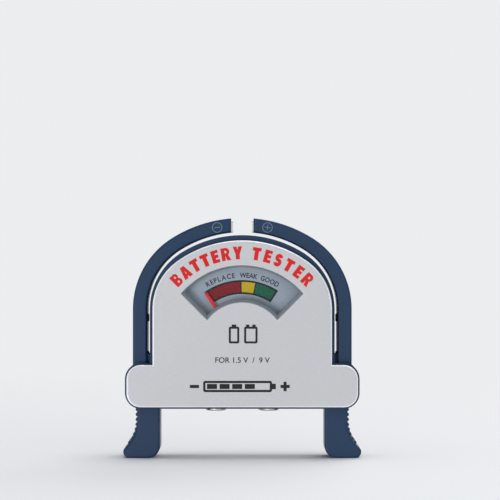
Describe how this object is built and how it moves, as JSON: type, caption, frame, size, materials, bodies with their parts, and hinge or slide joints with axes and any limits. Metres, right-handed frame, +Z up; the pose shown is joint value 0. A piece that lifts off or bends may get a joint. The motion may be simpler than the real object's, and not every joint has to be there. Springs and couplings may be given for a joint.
{
  "type": "battery tester",
  "caption": "Hand-held battery tester: squeezing the two grips opens spring-closed contact arms over the case, and a moving-coil meter behind a window shows the charge.",
  "frame": {"origin": "bottom centre of the bounding box, on the floor plane between the feet of the two grips", "axes": "+X to the right seen from the front, +Y from the printed face to the back, +Z up from the grips to the contact tips"},
  "size_m": [0.057, 0.02, 0.0574],
  "materials": {
    "cover_plastic": "silver satin moulding",
    "case_plastic": "dark blue moulding, fine texture",
    "lever_plastic": "dark blue moulding, satin",
    "window_plastic": "clear polished plastic",
    "screw_steel": "zinc plated",
    "pin_steel": "ground",
    "contact_metal": "nickel plated",
    "rivet_brass": "turned",
    "spring_steel": "drawn wire",
    "hairspring_bronze": "rolled ribbon",
    "lead_insulation": "smooth PVC insulation",
    "meter_moulding": "black phenolic moulding",
    "yoke_steel": "soft iron ring",
    "magnet": "ground alloy magnet",
    "dial_paint": "printed grey-blue lacquer",
    "pointer_paint": "red lacquer",
    "former_aluminium": "bright",
    "copper_wire": "enamelled copper wire",
    "board_laminate": "phenolic paper laminate",
    "resistor_body": "lacquered"
  },
  "bodies": {
    "case": {"front_cover": "cover_plastic", "rear_case": "case_plastic", "front_frame": "case_plastic", "window_lens": "window_plastic", "case_screws": "screw_steel", "dial_screws": "screw_steel", "bridge_screws": "screw_steel", "meter_screws": "screw_steel", "board_screws": "screw_steel", "pivot_pins": "pin_steel", "block_stud_left": "contact_metal", "block_stud_right": "contact_metal", "spring_tags": "rivet_brass", "meter_terminals": "rivet_brass", "core_clips": "rivet_brass", "bearing_screws": "rivet_brass", "hairspring_anchors": "rivet_brass", "front_bridge": "rivet_brass", "return_spring_left": "spring_steel", "return_spring_right": "spring_steel", "hairspring_front": "hairspring_bronze", "hairspring_rear": "hairspring_bronze", "lead_left": "lead_insulation", "lead_right": "lead_insulation", "block_leads": "lead_insulation", "meter_leads": "lead_insulation", "meter_frame": "meter_moulding", "meter_yoke": "yoke_steel", "core_magnet": "magnet", "dial_plate": "dial_paint", "circuit_board": "board_laminate", "load_resistor": "resistor_body", "block_resistor": "resistor_body", "meter_resistor": "resistor_body"},
    "left_lever": {"lever_left": "lever_plastic", "contact_strip_left": "contact_metal", "strip_rivets_left": "rivet_brass"},
    "right_lever": {"lever_right": "lever_plastic", "contact_strip_right": "contact_metal", "strip_rivets_right": "rivet_brass"},
    "movement": {"pointer": "pointer_paint", "balance_weight": "rivet_brass", "pointer_shaft": "pin_steel", "coil_former": "former_aluminium", "coil_winding": "copper_wire"}
  },
  "joints": [
    {"name": "left_lever_pivot", "type": "hinge", "parent": "case", "child": "left_lever", "pos_m": [-0.0226, 0, 0.0174], "axis": [0, -1, 0], "range_deg": [0, 42], "stiffness_Nm_per_rad": 0.053, "springref_deg": -26.93, "deforming": ["return_spring_left"]},
    {"name": "right_lever_pivot", "type": "hinge", "parent": "case", "child": "right_lever", "pos_m": [0.0226, 0, 0.0174], "axis": [0, 1, 0], "range_deg": [0, 42], "stiffness_Nm_per_rad": 0.053, "springref_deg": -26.93, "deforming": ["return_spring_right"]},
    {"name": "pointer_pivot", "type": "hinge", "parent": "case", "child": "movement", "pos_m": [0, 0, 0.027], "axis": [0, 1, 0], "range_deg": [0, 70], "stiffness_Nm_per_rad": 0.00002, "springref_deg": -14.32, "deforming": ["hairspring_front", "hairspring_rear"]}
  ]
}
